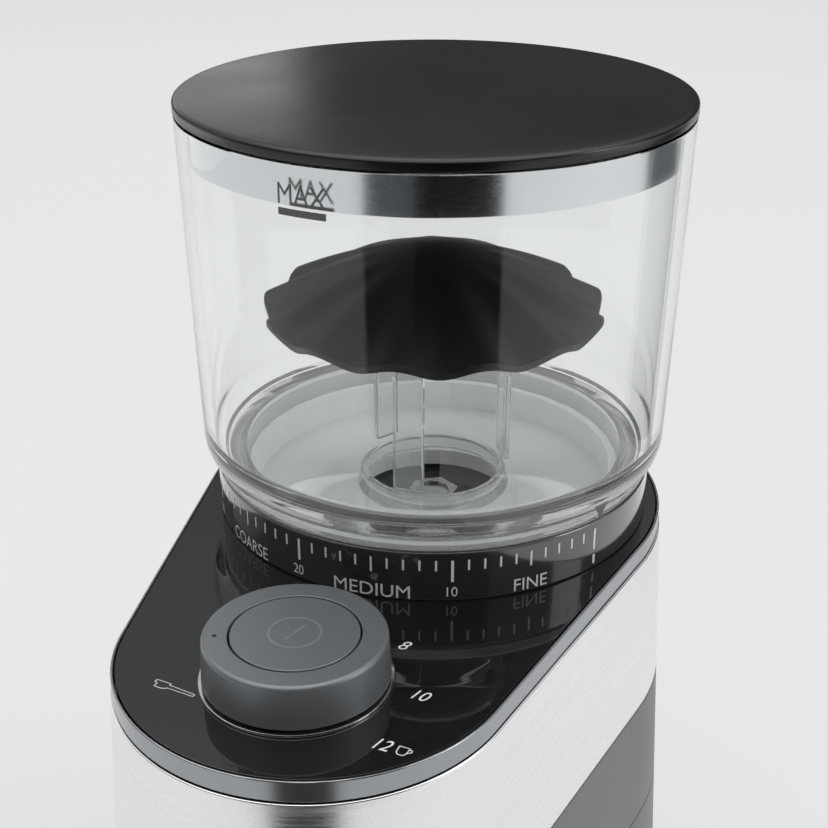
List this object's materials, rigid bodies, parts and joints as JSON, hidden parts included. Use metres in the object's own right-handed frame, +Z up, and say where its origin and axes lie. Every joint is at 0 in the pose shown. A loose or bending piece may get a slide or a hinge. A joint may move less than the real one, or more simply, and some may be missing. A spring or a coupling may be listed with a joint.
{
  "type": "burr coffee grinder",
  "caption": "Electric burr coffee grinder: clear bean hopper over conical burrs, grind scale ring, cup dial with start button and a grounds container.",
  "frame": {"origin": "centre of the footprint on the surface that the grinder stands on", "axes": "+Z up; the cup dial and the container face -Y, the hopper stands towards +Y"},
  "size_m": [0.1308, 0.1922, 0.2705],
  "materials": {
    "plastic_grey": "textured moulding",
    "plastic_black": "fine textured",
    "gloss_black": "polished",
    "charcoal": "satin",
    "guard_grey": "satin",
    "clear": "clear polished",
    "smoked": "clear smoked",
    "brushed": "brushed along the band",
    "satin_dial": "satin anodised",
    "bezel_grey": "satin painted",
    "chrome": "polished",
    "burr_steel": "ground hardened steel",
    "shaft_steel": "turned",
    "zinc": "zinc plated",
    "nylon": "natural",
    "pale_grey": "satin",
    "rubber": "matte",
    "copper": "wound copper on a steel core",
    "brass": "turned",
    "ferrite": "sintered",
    "board": "solder mask"
  },
  "bodies": {
    "housing": {"base_plate": "plastic_grey", "lower_housing": "plastic_grey", "mid_housing": "plastic_grey", "steel_shell": "brushed", "top_frame": "plastic_black", "bezel": "bezel_grey", "deck_panel": "gloss_black", "scale_ring": "charcoal", "grinding_chamber": "plastic_black", "ground_chute": "plastic_black", "upper_bearing": "brass", "lower_bearing": "brass", "idler_pin": "shaft_steel", "gearbox_housing": "plastic_black", "gearbox_cover": "plastic_black", "motor_can": "zinc", "motor_end_cap": "plastic_black", "magnet_right": "ferrite", "magnet_left": "ferrite", "knob_trim": "chrome", "dial_encoder": "plastic_black", "start_switch": "plastic_black", "control_board": "board", "container_bay": "plastic_black", "cord_gland": "rubber", "power_board": "board", "hopper_switch": "plastic_black", "foot_rear_right": "rubber", "base_screw_rear_right": "zinc", "foot_rear_left": "rubber", "base_screw_rear_left": "zinc", "foot_front_right": "rubber", "base_screw_front_right": "zinc", "foot_front_left": "rubber", "base_screw_front_left": "zinc"},
    "hopper": {"hopper": "clear", "bean_guard": "guard_grey", "guard_legs": "clear"},
    "lid": {"lid": "charcoal", "lid_collar": "chrome"},
    "adjuster": {"adjusting_ring": "pale_grey"},
    "upper_burr": {"burr_carrier": "plastic_black", "ring_burr": "burr_steel", "burr_seal": "rubber"},
    "dial": {"cup_dial": "satin_dial", "dial_shaft": "nylon", "button_spring": "shaft_steel"},
    "button": {"start_button": "satin_dial"},
    "drive": {"output_shaft": "shaft_steel", "output_gear": "nylon", "cone_burr": "burr_steel", "sweeper": "nylon", "burr_nut": "brass"},
    "idler": {"idler_gear": "nylon"},
    "motor_rotor": {"motor_shaft": "shaft_steel", "motor_pinion": "brass", "armature": "copper", "commutator": "copper"},
    "container": {"container": "smoked", "container_lid": "plastic_black"}
  },
  "joints": [
    {"name": "grind_adjust", "type": "hinge", "parent": "housing", "child": "adjuster", "pos_m": [0, 0.0307, 0.169], "axis": [0, 0, 1], "range_deg": [-117, 0]},
    {"name": "burr_lift", "type": "slide", "parent": "adjuster", "child": "upper_burr", "axis": [0, 0, 1], "range_m": [0, 0.0016]},
    {"name": "hopper_lift", "type": "slide", "parent": "adjuster", "child": "hopper", "axis": [0, 0, 1], "range_m": [0, 0.06]},
    {"name": "lid_lift", "type": "slide", "parent": "hopper", "child": "lid", "axis": [0, 0, 1], "range_m": [0, 0.05]},
    {"name": "dial_turn", "type": "hinge", "parent": "housing", "child": "dial", "pos_m": [0, -0.0551, 0.169], "axis": [0, 0, 1], "range_deg": [-234, 6]},
    {"name": "button_press", "type": "slide", "parent": "dial", "child": "button", "axis": [0, 0, -1], "range_m": [0, 0.0012], "stiffness_N_per_m": 1500, "deforming": ["button_spring"]},
    {"name": "burr_spin", "type": "hinge", "parent": "housing", "child": "drive", "pos_m": [0, 0.0307, 0.169], "axis": [0, 0, 1], "continuous": true},
    {"name": "idler_spin", "type": "hinge", "parent": "housing", "child": "idler", "pos_m": [-0.02438, 0.04478, 0.169], "axis": [0, 0, 1], "continuous": true},
    {"name": "motor_spin", "type": "hinge", "parent": "housing", "child": "motor_rotor", "pos_m": [0.00003, 0.05415, 0.169], "axis": [0, 0, 1], "continuous": true},
    {"name": "container_slide", "type": "slide", "parent": "housing", "child": "container", "axis": [0, -1, 0], "range_m": [0, 0.08]}
  ],
  "couplings": [
    {"joint": "burr_lift", "follows": "grind_adjust", "m_per_rad": -0.00073456},
    {"joint": "idler_spin", "follows": "motor_spin", "ratio": -0.3},
    {"joint": "burr_spin", "follows": "motor_spin", "ratio": 0.081818}
  ]
}
